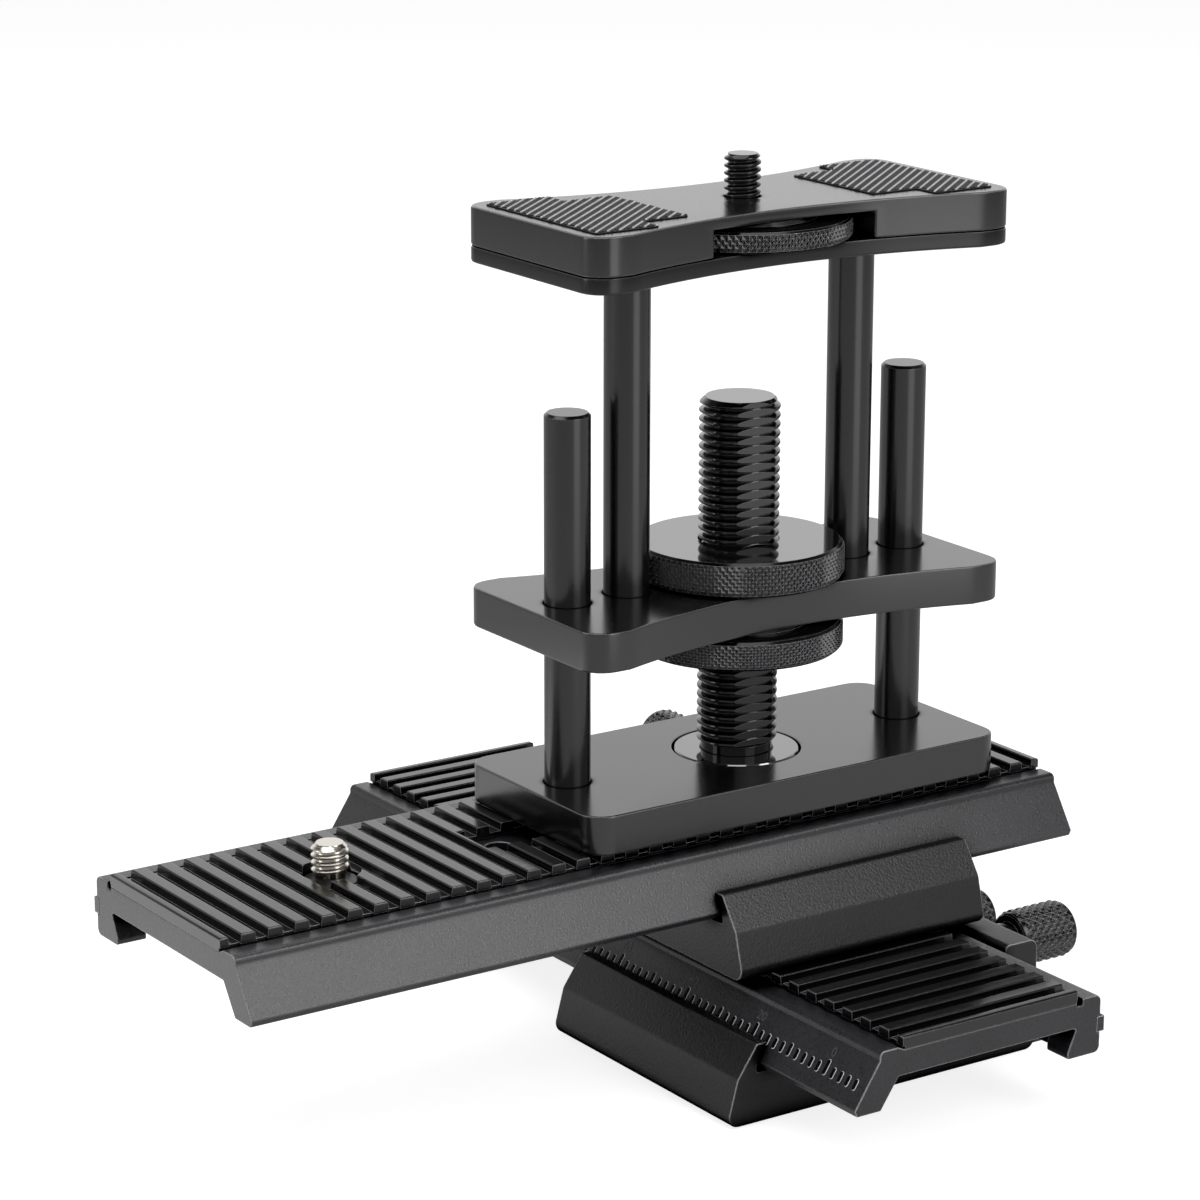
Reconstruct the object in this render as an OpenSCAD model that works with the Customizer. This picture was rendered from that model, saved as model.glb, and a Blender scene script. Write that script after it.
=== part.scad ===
// Two-way macro focusing rail with a screw riser.
// Two alike geared slides cross at right angles. The upper one carries a riser
// whose head goes up and down on a fixed lead screw, between two guide rods.
// The origin is the tripod socket under the lower carriage, +X runs along the
// upper rail, +Y along the lower rail and +Z up.

/* [Rails] */
// Length of each rail
rail_len = 168.6; // [150:0.1:190]
// Ridges down to the feet of the rail's legs
leg_drop = 10.4; // [9.8:0.1:11]
// Ridges down to the underside of the web
web_t = 5.1; // [4.4:0.1:5.6]
// Straight side of the rail, from its centre line
side_reach = 23.9; // [22.5:0.1:26]
// Top edge of the flared side, inside the straight side's reach
brow_in = 0.55; // [0.1:0.05:1.5]
// How far the foot of the flared side stands out past its top edge
flare_out = 5.05; // [4:0.05:6]
// Depth of the recess that holds the rubber pad
recess = 0.55; // [0.3:0.05:0.9]
// Rail ahead of the lower carriage at rest, along +Y
lower_travel = 31.4; // [-50:0.1:50]
// Rail ahead of the upper carriage at rest, along -X
upper_travel = 33.1; // [-50:0.1:50]

/* [Rubber pads] */
// Height of the ribs over the ridges
rib_h = 1.7; // [1.2:0.1:2.4]
// Width of a rib at its foot
rib_w = 2.9; // [2:0.1:3.4]
// Number of ribs between the two end ribs
rib_count = 33; // [25:1:36]
// How far the ribs' ends pass the edge of the recess
rib_lap = 0.05; // [-1:0.05:0.1]
// Width of the cut-out over the screw slot
cutout_w = 9.8; // [9:0.1:14]
// Radius of the hole around the camera screw
pad_hole_r = 5.3; // [5.1:0.1:7]

/* [Carriages] */
// Length of a carriage
car_len = 52.8; // [46:0.1:60]
// Underside of a carriage up to the ridges of its rail
car_h = 20.3; // [19.6:0.1:22]
// Thickness of the cheek beside the straight side
cheek_t = 7.35; // [6:0.05:9]
// Sliding clearance between rail and carriage
slide_fit = 0.1; // [0.06:0.01:0.15]

/* [Rack and pinion] */
// Tooth module
tooth_m = 0.7; // [0.6:0.05:0.75]
// Teeth on the pinion
pinion_teeth = 9; // [8:1:9]
// Pressure angle
press_angle = 25; // [22:1:27]
// Radius of the pinion's shaft
shaft_r = 2; // [1.6:0.1:2.1]

/* [Knobs] */
// Radius of the knurled knobs
knob_r = 5.18; // [4.8:0.02:6]
// Length of a knob's knurled grip
knob_len = 12.1; // [9:0.1:15]
// Near end of the lock knob's grip, from the cheek
lock_out = 3.8; // [3.3:0.1:8]
// Near end of the drive knob's grip, from the cheek
drive_out = 11.1; // [10:0.1:16]

/* [Camera screws] */
// Radius of the 1/4 inch screws
camera_r = 3.175; // [2.9:0.005:3.2]
// Height of the rail's camera screw over the ribs
stud_h = 4.95; // [4:0.05:8]
// Height of the head's camera screw over the head plate
head_stud_h = 7.4; // [5:0.1:9]

/* [Riser plates] */
// Width of every riser plate
plate_w = 88; // [84:0.1:96]
// Depth of every riser plate at its ends
plate_d = 40.4; // [39.2:0.1:46]
// Radius of the plates' corners
plate_r = 4.5; // [3:0.1:6]
// How deep each waist cuts in
waist = 6; // [4:0.1:6.4]
// Thickness of the base
base_t = 6.9; // [6:0.1:9]
// Thickness of the lift plate
lift_t = 6.9; // [6:0.1:9]
// Thickness of the bridge plate under the head
bridge_t = 2.85; // [2.4:0.05:4]
// Thickness of the head plate
head_t = 6.75; // [6.4:0.05:9]
// Height of the lift plate's underside over the base
lift_z = 25; // [24:0.1:32]

/* [Rods and screw] */
// Radius of the guide rods and the posts
rod_r = 4; // [3.4:0.1:4.2]
// Guide rods from the ends of the plates
rod_edge = 8.12; // [7:0.02:9]
// Height of the guide rods over the base
rod_h = 65.1; // [58:0.1:68]
// Posts from the guide rods
post_in = 12.15; // [11.4:0.01:12.2]
// Height of the posts between lift plate and bridge
post_h = 56.8; // [54:0.1:64]
// Radius of the lead screw
lead_r = 7.1; // [6.6:0.05:7.5]
// Height of the lead screw over the base
lead_h = 63.5; // [56:0.1:66]

/* [Nuts and wheel] */
// Gap between the lift nuts and the posts
nut_gap = 1.23; // [0.8:0.01:4]
// Thickness of the upper nut
upper_nut_t = 6.2; // [5:0.1:7]
// Thickness of the lower nut's knurled band
lower_nut_t = 5.1; // [4:0.1:6]
// Thumbwheel's rim from the middle of the posts
wheel_in = 4.73; // [4.3:0.01:7]
// Thickness of the thumbwheel's knurled band
wheel_t = 3.6; // [2.8:0.1:3.7]
// Height of the window around the thumbwheel
window_h = 4.7; // [4.6:0.05:5.2]

/* [Hidden] */
$fn = 96;
arc_steps = 6;
over = 1;

// Rail section: x from the centre line, y down from the ridges as a negative
flare_start = 1.6;
flare_end = 9.3;
brow_r = 1;
flare_tip_in = 0.5;
left_root_t = 3.95;
left_foot_t = 5.4;
right_root_t = 5.25;
right_foot_t = 7;
foot_up = 1.3;
left_ridge_w = 3.8;
left_ridge_slope = 1.25;
ridge_w = 4.05;
gutter_w = 1.25;
gutter_d = 0.65;
side_round = 1.2;
small_r = 0.4;

// Brake strip let into the straight side
strip_in = 0.8;
strip_out = 0.85;
strip_top = 3.98;
strip_low = 6.7;

// Rack and its seat in the straight leg
rack_end = 5.5;
rack_wall = 0.7;
rack_back = 1.65;

// Places along the rail, from its middle
stud_end = 31.2;
dowel_l = 19.7;
dowel_r = 2.4;
slot_from = -38;
slot_to = -11.5;
slot_w = 6.8;
cutout_from = -42;
cutout_to = 25;
riser_l = -30.25;
coupling_l = -15.65;

// Pad
pad_t = 0.8;
pad_side = 0.1;
end_rib_w = 1.7;
rib_slope = 0.2;
rib_end_slope = 0.35;
rib_round = 0.3;

// Carriage
cheek_over = 0.2;
cheek_gap = 0.1;
left_cheek_low = 6.2;
left_cheek_t = 2.3;
knee_out = 4.2;
knee_low = 11.8;
skirt_out = 6.5;
belly_r = 2;
cheek_r = 1.7;
floor_gap = 0.8;
pocket_gap = 0.35;
tongue_w = 9.7;
tongue_gap = 0.1;
pinion_l = 16.9;
pinion_low = 12.9;
lock_l = -14.2;
lock_low = 4.6;

// Pinion, its bush and the knobs
fit = 0.05;
addendum_share = 0.8;
dedendum_share = 1;
backlash = 0.12;
flank_steps = 4;
gear_side = 0.5;
gear_room = 0.35;
shaft_tail = 6;
shaft_in_knob = 9;
bush_r = 4.1;
bush_set = 0.15;
flange_r = 4.9;
flange_t = 1.2;
sleeve_r = 3.4;
knob_chamfer = 0.6;
neck_r = 3.3;
neck_len = 3.2;
lock_r = 2.5;
lock_gap = 0.05;
lock_in_knob = 8;

// Screws
thread_fit = 0.025;
screw_head_r = 6.5;
screw_head_t = 3.5;
fixing_r = 3;
stud_head_r = 8;
stud_head_t = 3.4;
stud_fit = 0.075;
shank_r = 2.8;
thread_gap = 0.3;
tip_chamfer = 0.6;
clip_r = 4.6;
clip_t = 0.6;
clip_gap = 0.05;
coupling_bite = 7.5;
riser_bite = 12;

// Riser
seat_d = 2;
flange_disc_r = 11.4;
flange_disc_t = 3.2;
spigot_r = 5;
neck_lead_r = 6.3;
neck_lead_h = 3.6;
lead_chamfer = 1.1;
lead_flat = 5.9;
lead_flat_turn = -98;
lead_clear = 0.5;
boss_in = 5.5;
nut_boss_t = 0.9;
nut_chamfer = 0.5;
wheel_play = 0.05;
wheel_boss_t = 0.7;
wheel_room = 0.4;
window_in = 2.2;
head_hole_fit = 0.15;
small_screw_r = 1.5;
small_head_r = 2.9;
small_head_t = 1.6;
small_bite = 9;
rod_chamfer = 0.7;
end_tab = 7.5;

// Grip pads on the head plate
grip_t = 0.45;
grip_edge = 2.6;
grip_wide_w = 12.7;
grip_narrow_w = 9.5;
grip_wide_d = 33.4;
grip_narrow_d = 23;
grip_round = 0.8;

// Working points that follow from the sizes above
brow_reach = side_reach - brow_in;
flare_reach = brow_reach + flare_out;
left_ridge_in = brow_reach - left_ridge_w;
floor_left = left_ridge_in - left_ridge_slope;
gutter_out = side_reach - ridge_w;
gutter_in = gutter_out - gutter_w;
rib_reach = gutter_in + rib_lap;
knee_reach = flare_reach + knee_out;
skirt_reach = flare_reach + skirt_out;
pocket_reach = flare_reach + pocket_gap;
ridge_z = car_h;
floor_z = car_h - leg_drop - floor_gap;
web_z = car_h - web_t;
right_in = side_reach - right_root_t;
foot_in = side_reach - right_foot_t;
foot_z = car_h - leg_drop + foot_up;
cheek_in = side_reach + strip_out + cheek_gap;
cheek_out = cheek_in + cheek_t;
lock_reach = cheek_out + lock_out;
drive_reach = cheek_out + drive_out;
pin_z = car_h - pinion_low;
pinion_r = tooth_m * pinion_teeth / 2;
addendum = addendum_share * tooth_m;
dedendum = dedendum_share * tooth_m;
tooth_pitch = PI * tooth_m;
half_tooth = (tooth_pitch - backlash) / 4;
rack_line = pin_z + pinion_r;
rack_seat_z = rack_line + dedendum + rack_back;
rack_out = side_reach - rack_wall;
rack_len = rail_len - 2 * rack_end;
stud_l = rail_len / 2 - stud_end;
stack_h = car_h + rib_h;
rib_pitch = (rail_len - 2 * end_rib_w + rib_w) / (rib_count + 1);
plate_z = 2 * stack_h;
base_z = plate_z + base_t;
lift_at = base_z + lift_z;
bridge_at = lift_at + lift_t + post_h;
head_at = bridge_at + bridge_t;
head_top = head_at + head_t;
riser_x = -(riser_l + upper_travel);
rod_gap = plate_w / 2 - rod_edge;
post_gap = rod_gap - post_in;
nut_r = post_gap - rod_r - nut_gap;
nut_boss_r = nut_r - boss_in;
wheel_r = post_gap - wheel_in;
window_w = 2 * (wheel_r - window_in);
riser_y = lower_travel + coupling_l;

ANODISED = [0.10, 0.10, 0.11];
RUBBER = [0.17, 0.17, 0.18];
STEEL = [0.72, 0.70, 0.68];
BRONZE = [0.62, 0.47, 0.25];

// Outlines are lists of [x, y] or [x, y, radius], the radius rounding that corner
function unit(v) = v / norm(v);

function swing(a) = a > 180 ? a - 360 : a < -180 ? a + 360 : a;

function corner(p, q, s, r) =
    r == 0 ? [q] :
    let (a = unit(p - q), b = unit(s - q))
    let (half = acos(a * b) / 2)
    let (mid = q + unit(a + b) * r / sin(half))
    let (from = q + a * r / tan(half) - mid)
    let (to = q + b * r / tan(half) - mid)
    let (start = atan2(from.y, from.x))
    let (turn = swing(atan2(to.y, to.x) - start))
    [for (i = [0 : arc_steps]) mid + r * [cos(start + turn * i / arc_steps), sin(start + turn * i / arc_steps)]];

function flat(p) = [p[0], p[1]];

function outline(pts) =
    let (n = len(pts))
    [for (i = [0 : n - 1])
        each corner(flat(pts[(i + n - 1) % n]), flat(pts[i]), flat(pts[(i + 1) % n]),
                    len(pts[i]) > 2 ? pts[i][2] : 0)];

// How far the flared side stands out at a depth under the ridges
function flare_at(low) =
    brow_reach + (flare_reach - brow_reach) * (low - flare_start) / (flare_end - flare_start);

// Inner face of the straight leg at a height over the carriage's underside
function leg_face(z) = foot_in + (right_in - foot_in) * (z - foot_z) / (web_z - foot_z);

// Extrudes a section of [across, height] points along the slide, about its middle
module along(length) rotate([90, 0, 0]) linear_extrude(height = length, center = true) children();

// Extrudes a section of [along, height] points across the slide
module across(from, to) translate([from, 0, 0]) rotate([90, 0, 90]) linear_extrude(height = to - from) children();

module bar_across(r, from, to) translate([from, 0, 0]) rotate([0, 90, 0]) cylinder(r = r, h = to - from);

// Turned piece from a profile of [radius, height] points
module turned(pts) rotate_extrude() polygon(pts);

// The lower slide lies in this frame already and the upper one is turned a quarter over it
module lower_stage() children();

module lower_on_rail() translate([0, lower_travel, 0]) children();

module upper_stage() translate([0, riser_y, stack_h]) rotate([0, 0, 90]) children();

module upper_on_rail() upper_stage() translate([0, upper_travel, 0]) children();

module riser() translate([riser_x, riser_y, 0]) children();

// Rail: an extruded web with two ridges, a flared dovetail leg and a straight leg
RAIL_SECTION = outline([
    [-left_ridge_in, ridge_z],
    [-brow_reach, ridge_z, brow_r],
    [-brow_reach, ridge_z - flare_start],
    [-flare_reach, ridge_z - flare_end, small_r],
    [-flare_reach + flare_tip_in, ridge_z - leg_drop, small_r],
    [-flare_reach + left_foot_t, ridge_z - leg_drop, small_r],
    [-brow_reach + left_root_t, web_z, small_r],
    [right_in, web_z, small_r],
    [foot_in, foot_z],
    [foot_in, ridge_z - leg_drop, small_r],
    [side_reach, ridge_z - leg_drop, side_round],
    [side_reach, ridge_z - strip_low],
    [side_reach - strip_in, ridge_z - strip_low],
    [side_reach - strip_in, ridge_z - strip_top],
    [side_reach, ridge_z - strip_top],
    [side_reach, ridge_z, side_round],
    [gutter_out, ridge_z, small_r / 2],
    [gutter_out, ridge_z - recess - gutter_d],
    [gutter_in, ridge_z - recess - gutter_d],
    [gutter_in, ridge_z - recess],
    [-floor_left, ridge_z - recess]
]);

module rail_body() {
    difference() {
        along(rail_len) polygon(RAIL_SECTION);
        translate([foot_in - over, -rack_len / 2, ridge_z - leg_drop - over])
            cube([rack_out - foot_in + over, rack_len, rack_seat_z - ridge_z + leg_drop + over]);
        translate([0, stud_l, web_z - over]) cylinder(r = shank_r + stud_fit, h = web_t + 2 * over);
        translate([0, dowel_l, web_z - over]) cylinder(r = dowel_r, h = web_t + 2 * over);
        slot_end(slot_from);
        slot_end(slot_to);
        translate([-slot_w / 2, slot_from + slot_w / 2, web_z - over])
            cube([slot_w, slot_to - slot_from - slot_w, web_t + 2 * over]);
    }
}

module slot_end(end_l) {
    inward = end_l == slot_from ? slot_w / 2 : -slot_w / 2;
    translate([0, end_l + inward, web_z - over]) cylinder(r = slot_w / 2, h = web_t + 2 * over);
}

// Rack: stub teeth that point down, ended by plain lands
rack_teeth = floor(rack_len / tooth_pitch / 2) * 2 - 1;
rack_tip = half_tooth - addendum * tan(press_angle);
rack_root = half_tooth + dedendum * tan(press_angle);

function rack_tooth(c) = [
    [c - rack_root, rack_line + dedendum], [c - rack_tip, rack_line - addendum],
    [c + rack_tip, rack_line - addendum], [c + rack_root, rack_line + dedendum]
];

RACK_TEETH = concat(
    [[rack_len / 2, rack_seat_z], [-rack_len / 2, rack_seat_z], [-rack_len / 2, rack_line + dedendum]],
    [for (i = [0 : rack_teeth - 1]) each rack_tooth((i - (rack_teeth - 1) / 2) * tooth_pitch)],
    [[rack_len / 2, rack_line + dedendum]]
);

RACK_SIDE = [
    [foot_in - over, rack_line - addendum - over], [foot_in, rack_line - addendum - over],
    [foot_in, foot_z], [leg_face(rack_seat_z), rack_seat_z],
    [leg_face(rack_seat_z), rack_seat_z + over], [foot_in - over, rack_seat_z + over]
];

module rack_body() {
    difference() {
        across(foot_in, rack_out) polygon(RACK_TEETH);
        along(rail_len) polygon(RACK_SIDE);
    }
}

module strip_body() {
    translate([side_reach - strip_in, -rail_len / 2, ridge_z - strip_low])
        cube([strip_in + strip_out, rail_len, strip_low - strip_top]);
}

// Rubber pad: a sheet in the recess with ribs across it, cut out over the screw slot
RIB_FACE = outline([
    [-rib_w / 2, 0], [rib_w / 2, 0],
    [rib_w / 2 - rib_slope, rib_h, rib_round], [-rib_w / 2 + rib_slope, rib_h, rib_round]
]);

END_RIB_FACE = outline([
    [0, 0], [end_rib_w, 0], [end_rib_w - rib_slope, rib_h, rib_round], [0, rib_h]
]);

module rib(l) translate([0, l, ridge_z]) across(-rib_reach, rib_reach) polygon(RIB_FACE);

module end_rib() translate([0, -rail_len / 2, ridge_z]) across(-rib_reach, rib_reach) polygon(END_RIB_FACE);

module pad_body() {
    difference() {
        union() {
            translate([-floor_left + pad_side, -rail_len / 2, ridge_z - recess])
                cube([floor_left + gutter_in - 2 * pad_side, rail_len, pad_t]);
            for (i = [1 : rib_count])
                rib((i - (rib_count + 1) / 2) * rib_pitch);
            end_rib();
            mirror([0, 1, 0]) end_rib();
        }
        translate([-cutout_w / 2, cutout_from, ridge_z - recess - over])
            cube([cutout_w, cutout_to - cutout_from, recess + rib_h + 2 * over]);
        translate([0, stud_l, ridge_z - recess - over]) cylinder(r = pad_hole_r, h = recess + rib_h + 2 * over);
    }
}

// Carriage: a dovetail cheek, a tongue under the web and a straight cheek with the controls
CARRIAGE_SECTION = outline([
    [-skirt_reach, 0, belly_r],
    [cheek_out, 0, belly_r],
    [cheek_out, ridge_z + cheek_over, cheek_r],
    [cheek_in, ridge_z + cheek_over, side_round],
    [cheek_in, floor_z],
    [foot_in - slide_fit, floor_z],
    [foot_in - slide_fit, foot_z],
    [leg_face(web_z - tongue_gap) - slide_fit, web_z - tongue_gap, small_r + slide_fit],
    [right_in - tongue_w, web_z - tongue_gap, small_r],
    [right_in - tongue_w, floor_z, small_r],
    [-pocket_reach, floor_z, small_r],
    [-flare_reach - slide_fit, ridge_z - flare_end],
    [-flare_at(left_cheek_low) - slide_fit, ridge_z - left_cheek_low, small_r / 2],
    [-flare_at(left_cheek_low) - left_cheek_t, ridge_z - left_cheek_low, small_r],
    [-knee_reach, ridge_z - knee_low, belly_r]
]);

gear_from = foot_in + gear_side;
gear_to = rack_out - gear_side;
gear_tip = pinion_r + addendum;

module carriage_body(bore_r) {
    difference() {
        along(car_len) polygon(CARRIAGE_SECTION);
        translate([0, 0, -over]) cylinder(r = bore_r + thread_fit, h = floor_z + 2 * over);
        translate([gear_from - gear_room, pinion_l - gear_tip - gear_room, pin_z - gear_tip - gear_room])
            cube([gear_to - gear_from + 2 * gear_room, 2 * (gear_tip + gear_room), floor_z]);
        translate([0, pinion_l, pin_z]) bar_across(shaft_r + fit, gear_from - shaft_tail - fit, gear_from);
        translate([0, pinion_l, pin_z]) bar_across(bush_r, gear_to, cheek_out + over);
        translate([0, lock_l, ridge_z - lock_low]) bar_across(lock_r + thread_fit, cheek_in - over, cheek_out + over);
    }
}

// Bush: carries the pinion's shaft in the straight cheek and reaches out towards the knob
bush_end = drive_reach - neck_len - cheek_gap;

module bush_body() {
    translate([0, pinion_l, pin_z]) rotate([0, 90, 0])
        turned([
            [shaft_r + fit, cheek_in + bush_set], [bush_r, cheek_in + bush_set], [bush_r, cheek_out],
            [flange_r, cheek_out], [flange_r, cheek_out + flange_t], [sleeve_r, cheek_out + flange_t],
            [sleeve_r, bush_end], [shaft_r + fit, bush_end]
        ]);
}

// Pinion: involute teeth turned into mesh with the rack's place at rest
base_r = pinion_r * cos(press_angle);

function involute(a) = tan(a) * 180 / PI - a;

function half_angle(r) =
    let (at = max(r, base_r))
    half_tooth / pinion_r * 180 / PI + involute(press_angle) - involute(acos(base_r / at));

FLANK_RADII = concat(
    [pinion_r - dedendum],
    [for (i = [0 : flank_steps]) base_r + (gear_tip - base_r) * i / flank_steps]
);

function tooth(mid) =
    let (last = len(FLANK_RADII) - 1)
    concat(
        [for (i = [0 : last]) let (r = FLANK_RADII[i], a = mid - half_angle(r)) r * [cos(a), sin(a)]],
        [for (i = [last : -1 : 0]) let (r = FLANK_RADII[i], a = mid + half_angle(r)) r * [cos(a), sin(a)]]
    );

// A gap of the pinion points up where a tooth of the rack is over it
UP = 90;

function mesh_turn(travel) = -(travel - pinion_l) / pinion_r * 180 / PI;

module pinion_body(travel) {
    translate([0, pinion_l, pin_z]) {
        across(gear_from, gear_to)
            polygon([for (i = [1 : pinion_teeth]) each tooth(UP + mesh_turn(travel) + (i - 0.5) * 360 / pinion_teeth)]);
        bar_across(shaft_r, gear_from - shaft_tail, drive_reach + shaft_in_knob);
    }
}

// Knob: a chamfered grip with a short neck and a blind bore
module knob_body(reach, bore, depth) {
    rotate([0, 90, 0]) translate([0, 0, reach])
        turned([
            [bore, -neck_len], [neck_r, -neck_len], [neck_r, 0], [knob_r - knob_chamfer, 0],
            [knob_r, knob_chamfer], [knob_r, knob_len - knob_chamfer], [knob_r - knob_chamfer, knob_len],
            [0, knob_len], [0, depth], [bore, depth]
        ]);
}

module drive_knob_body() translate([0, pinion_l, pin_z]) knob_body(drive_reach, shaft_r, shaft_in_knob);

module lock_knob_body() translate([0, lock_l, ridge_z - lock_low]) knob_body(lock_reach, lock_r, lock_in_knob);

// Lock screw: its end bears on the brake strip
module lock_screw_body() {
    translate([0, lock_l, ridge_z - lock_low])
        bar_across(lock_r, side_reach + strip_out + lock_gap, lock_reach + lock_in_knob);
}

// Fixing screw up through a web: head under the web, chamfered end
module web_screw(top) {
    turned([
        [0, web_z - screw_head_t], [screw_head_r - tip_chamfer, web_z - screw_head_t],
        [screw_head_r, web_z - screw_head_t + tip_chamfer], [screw_head_r, web_z], [fixing_r, web_z],
        [fixing_r, top - tip_chamfer], [fixing_r - tip_chamfer, top], [0, top]
    ]);
}

// Captive camera screw: head under the web, a thin plain shank through it and the thread over the pad
module stud(top) {
    turned([
        [0, web_z - stud_head_t], [stud_head_r - tip_chamfer, web_z - stud_head_t],
        [stud_head_r, web_z - stud_head_t + tip_chamfer], [stud_head_r, web_z], [shank_r, web_z],
        [shank_r, stack_h + thread_gap], [camera_r, stack_h + thread_gap],
        [camera_r, top - tip_chamfer], [camera_r - tip_chamfer, top], [0, top]
    ]);
}

// Plates of the riser: rounded ends, and a shallow waist front and back
waist_chord = plate_w / 2 - end_tab;
waist_r = (waist_chord * waist_chord + waist * waist) / (2 * waist);

module slab(t) {
    linear_extrude(height = t)
        polygon(outline([
            [-plate_w / 2, -plate_d / 2, plate_r], [plate_w / 2, -plate_d / 2, plate_r],
            [plate_w / 2, plate_d / 2, plate_r], [-plate_w / 2, plate_d / 2, plate_r]
        ]));
}

module waisted_slab(t) {
    difference() {
        slab(t);
        for (side = [-1, 1])
            translate([0, side * (plate_d / 2 - waist + waist_r), -over])
                cylinder(r = waist_r, h = t + 2 * over, $fn = 360);
    }
}

module at_both(gap) for (side = [-1, 1]) translate([side * gap, 0, 0]) children();

// Small countersunk screw, its head flush at height 0 and its shank going up
module small_screw() {
    turned([[0, 0], [small_head_r, 0], [small_screw_r, small_head_t], [small_screw_r, small_bite], [0, small_bite]]);
}

module screw_sink(t) {
    translate([0, 0, -over]) cylinder(r = small_screw_r, h = t + 2 * over);
    cylinder(r1 = small_head_r, r2 = small_screw_r, h = small_head_t);
}

module rod(length) {
    difference() {
        union() {
            cylinder(r = rod_r, h = length - rod_chamfer);
            translate([0, 0, length - rod_chamfer]) cylinder(r1 = rod_r, r2 = rod_r - rod_chamfer, h = rod_chamfer);
        }
        translate([0, 0, -over]) cylinder(r = small_screw_r, h = small_bite + over);
    }
}

module post() {
    difference() {
        cylinder(r = rod_r, h = post_h + seat_d);
        translate([0, 0, -over]) cylinder(r = small_screw_r, h = small_bite + over);
        translate([0, 0, post_h + seat_d - small_bite]) cylinder(r = small_screw_r, h = small_bite + over);
    }
}

// Nut: a knurled band from z = 0 and a boss on one face
module nut(band_t, boss_from, boss_to) {
    difference() {
        union() {
            turned([
                [0, 0], [nut_r - nut_chamfer, 0], [nut_r, nut_chamfer], [nut_r, band_t - nut_chamfer],
                [nut_r - nut_chamfer, band_t], [0, band_t]
            ]);
            translate([0, 0, boss_from]) cylinder(r = nut_boss_r, h = boss_to - boss_from);
        }
        translate([0, 0, -over]) cylinder(r = lead_r + fit, h = max(band_t, boss_to) + 2 * over);
    }
}

// Lower slide
module lower_carriage() color(ANODISED) lower_stage() carriage_body(camera_r);
module lower_bush() color(BRONZE) lower_stage() bush_body();
module lower_lock_screw() color(STEEL) lower_stage() lock_screw_body();
module lower_lock_knob() color(ANODISED) lower_stage() lock_knob_body();
module lower_pinion() color(STEEL) lower_stage() pinion_body(lower_travel);
module lower_drive_knob() color(ANODISED) lower_stage() drive_knob_body();
module lower_rail() color(ANODISED) lower_on_rail() rail_body();
module lower_rack() color(ANODISED) lower_on_rail() rack_body();
module lower_brake_strip() color(ANODISED) lower_on_rail() strip_body();
module lower_pad() color(RUBBER) lower_on_rail() pad_body();

// The coupling screw joins the upper carriage to the lower rail
module coupling_screw() {
    color(STEEL) lower_on_rail() translate([0, coupling_l, 0])
        web_screw(stack_h + coupling_bite);
}

// Upper slide
module upper_carriage() color(ANODISED) upper_stage() carriage_body(fixing_r);
module upper_bush() color(BRONZE) upper_stage() bush_body();
module upper_lock_screw() color(STEEL) upper_stage() lock_screw_body();
module upper_lock_knob() color(ANODISED) upper_stage() lock_knob_body();
module upper_pinion() color(STEEL) upper_stage() pinion_body(upper_travel);
module upper_drive_knob() color(ANODISED) upper_stage() drive_knob_body();
module upper_rail() color(ANODISED) upper_on_rail() rail_body();
module upper_rack() color(ANODISED) upper_on_rail() rack_body();
module upper_brake_strip() color(ANODISED) upper_on_rail() strip_body();
module upper_pad() color(RUBBER) upper_on_rail() pad_body();

module rail_camera_screw() {
    color(STEEL) upper_on_rail() translate([0, stud_l, 0])
        difference() {
            stud(stack_h + stud_h);
            translate([0, 0, ridge_z - recess + clip_gap])
                difference() {
                    cylinder(r = camera_r + over, h = clip_t);
                    cylinder(r = camera_r - clip_t, h = clip_t);
                }
        }
}

// The clip keeps the camera screw in the rail
module screw_clip() {
    color(STEEL) upper_on_rail() translate([0, stud_l, ridge_z - recess + clip_gap])
        difference() {
            cylinder(r = clip_r, h = clip_t);
            translate([0, 0, -over]) cylinder(r = camera_r - clip_t, h = clip_t + 2 * over);
        }
}

module riser_screw() {
    color(STEEL) upper_on_rail() translate([0, riser_l, 0])
        web_screw(stack_h + riser_bite);
}

// Riser base: carries the lead screw in the middle and the guide rods beside it
module riser_base() {
    color(ANODISED) riser() translate([0, 0, plate_z])
        difference() {
            slab(base_t);
            translate([0, 0, -over]) cylinder(r = spigot_r, h = base_t + 2 * over);
            translate([0, 0, base_t - flange_disc_t]) cylinder(r = flange_disc_r, h = flange_disc_t + over);
            at_both(rod_gap) screw_sink(base_t);
            at_both(rod_gap) translate([0, 0, base_t - seat_d]) cylinder(r = rod_r, h = seat_d + over);
        }
}

module rod_screws() color(STEEL) riser() translate([0, 0, plate_z]) at_both(rod_gap) small_screw();

module screw_flange() {
    color(ANODISED) riser() translate([0, 0, base_z - flange_disc_t])
        difference() {
            cylinder(r = flange_disc_r, h = flange_disc_t);
            translate([0, 0, -over]) cylinder(r = neck_lead_r, h = flange_disc_t + 2 * over);
        }
}

// Lead screw: a spigot in the base, a plain neck and a threaded length with one milled flat
module lead_screw() {
    color(ANODISED) riser()
        difference() {
            turned([
                [0, plate_z], [spigot_r, plate_z], [spigot_r, base_z - flange_disc_t],
                [neck_lead_r, base_z - flange_disc_t], [neck_lead_r, base_z + neck_lead_h],
                [lead_r, base_z + neck_lead_h + lead_r - neck_lead_r], [lead_r, base_z + lead_h - lead_chamfer],
                [lead_r - lead_chamfer, base_z + lead_h], [0, base_z + lead_h]
            ]);
            translate([0, 0, plate_z - over]) cylinder(r = fixing_r + thread_fit, h = riser_bite + 2 * over);
            rotate([0, 0, lead_flat_turn]) translate([lead_flat, -lead_r, base_z + neck_lead_h + lead_chamfer])
                cube([lead_r, 2 * lead_r, lead_h]);
        }
}

module guide_rod(side) {
    color(ANODISED) riser() translate([side * rod_gap, 0, base_z - seat_d]) rod(rod_h + seat_d);
}

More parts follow.
